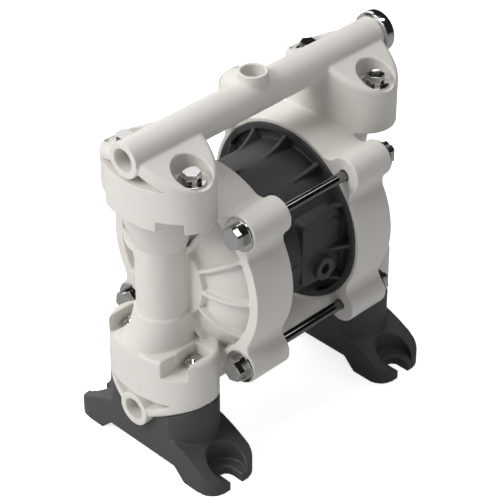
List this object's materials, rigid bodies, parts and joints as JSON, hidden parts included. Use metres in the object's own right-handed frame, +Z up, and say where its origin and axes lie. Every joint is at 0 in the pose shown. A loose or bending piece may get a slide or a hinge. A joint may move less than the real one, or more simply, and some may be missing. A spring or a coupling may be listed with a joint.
{
  "type": "air operated diaphragm pump",
  "caption": "Air operated double diaphragm pump with moulded white fluid caps and manifolds, a dark ribbed centre body, through tie bolts and slotted saddle feet.",
  "frame": {"origin": "on the floor plane of the feet, under the middle of the diaphragm shaft", "axes": "+X along the diaphragm shaft towards the plugged port ends, +Y towards the air valve, +Z up"},
  "size_m": [0.2118, 0.1398, 0.2337],
  "materials": {
    "white_plastic": "satin injection-moulded polypropylene, warm white",
    "dark_plastic": "fine-textured dark grey glass-filled plastic",
    "bright_steel": "polished stainless steel",
    "plug_chrome": "bright plated",
    "shaft_steel": "ground stainless steel",
    "bearing_bronze": "sintered bronze",
    "seal_rubber": "black rubber",
    "diaphragm_rubber": "moulded elastomer",
    "plate_aluminium": "turned aluminium",
    "plate_plastic": "moulded polypropylene",
    "ball_white": "smooth white fluoroplastic",
    "seat_plastic": "moulded polypropylene",
    "valve_plastic": "glass-filled black plastic",
    "muffler_plastic": "porous grey plastic"
  },
  "bodies": {
    "pump_body": {"centre_body": "dark_plastic", "diaphragm_left": "diaphragm_rubber", "diaphragm_right": "diaphragm_rubber", "discharge_manifold": "white_plastic", "discharge_port_plug": "plug_chrome", "discharge_seat_left": "seat_plastic", "discharge_seat_right": "seat_plastic", "end_cap_screws": "bright_steel", "exhaust_muffler": "muffler_plastic", "fluid_cap_left": "white_plastic", "fluid_cap_right": "white_plastic", "foot_bolts": "bright_steel", "foot_left": "dark_plastic", "foot_nuts": "bright_steel", "foot_right": "dark_plastic", "foot_washers": "bright_steel", "manifold_bolts": "bright_steel", "manifold_nuts": "bright_steel", "manifold_washers": "bright_steel", "pilot_bush_left": "bearing_bronze", "pilot_bush_right": "bearing_bronze", "seat_o_rings": "seal_rubber", "shaft_bush_left": "bearing_bronze", "shaft_bush_right": "bearing_bronze", "shaft_seals": "seal_rubber", "side_port_plug": "plug_chrome", "spool_seals": "seal_rubber", "suction_manifold": "white_plastic", "suction_port_plug": "plug_chrome", "suction_seat_left": "seat_plastic", "suction_seat_right": "seat_plastic", "suction_side_plug": "plug_chrome", "tie_bolt_nuts": "bright_steel", "tie_bolt_washers": "bright_steel", "tie_bolts": "bright_steel", "valve_body": "valve_plastic", "valve_end_cap_left": "valve_plastic", "valve_end_cap_right": "valve_plastic", "valve_gasket": "seal_rubber", "valve_screws": "bright_steel"},
    "shaft_assembly": {"shaft": "shaft_steel", "inner_plate_left": "plate_aluminium", "inner_plate_right": "plate_aluminium", "outer_plate_left": "plate_plastic", "outer_plate_right": "plate_plastic"},
    "pilot_rod": {"pilot_rod": "shaft_steel"},
    "valve_spool": {"valve_spool": "plate_aluminium"},
    "suction_ball_left": {"suction_ball_left": "ball_white"},
    "suction_ball_right": {"suction_ball_right": "ball_white"},
    "discharge_ball_left": {"discharge_ball_left": "ball_white"},
    "discharge_ball_right": {"discharge_ball_right": "ball_white"}
  },
  "joints": [
    {"name": "shaft_slide", "type": "slide", "parent": "pump_body", "child": "shaft_assembly", "axis": [1, 0, 0], "range_m": [-0.006, 0.006], "deforming": ["diaphragm_left", "diaphragm_right"]},
    {"name": "pilot_slide", "type": "slide", "parent": "pump_body", "child": "pilot_rod", "axis": [1, 0, 0], "range_m": [-0.003, 0.003]},
    {"name": "spool_slide", "type": "slide", "parent": "pump_body", "child": "valve_spool", "axis": [1, 0, 0], "range_m": [0, 0.008]},
    {"name": "suction_ball_lift_left", "type": "slide", "parent": "pump_body", "child": "suction_ball_left", "axis": [0, 0, 1], "range_m": [0, 0.004]},
    {"name": "suction_ball_lift_right", "type": "slide", "parent": "pump_body", "child": "suction_ball_right", "axis": [0, 0, 1], "range_m": [0, 0.004]},
    {"name": "discharge_ball_lift_left", "type": "slide", "parent": "pump_body", "child": "discharge_ball_left", "axis": [0, 0, 1], "range_m": [0, 0.004]},
    {"name": "discharge_ball_lift_right", "type": "slide", "parent": "pump_body", "child": "discharge_ball_right", "axis": [0, 0, 1], "range_m": [0, 0.004]}
  ],
  "couplings": [
    {"joint": "pilot_slide", "follows": "shaft_slide", "ratio": 0.5}
  ]
}
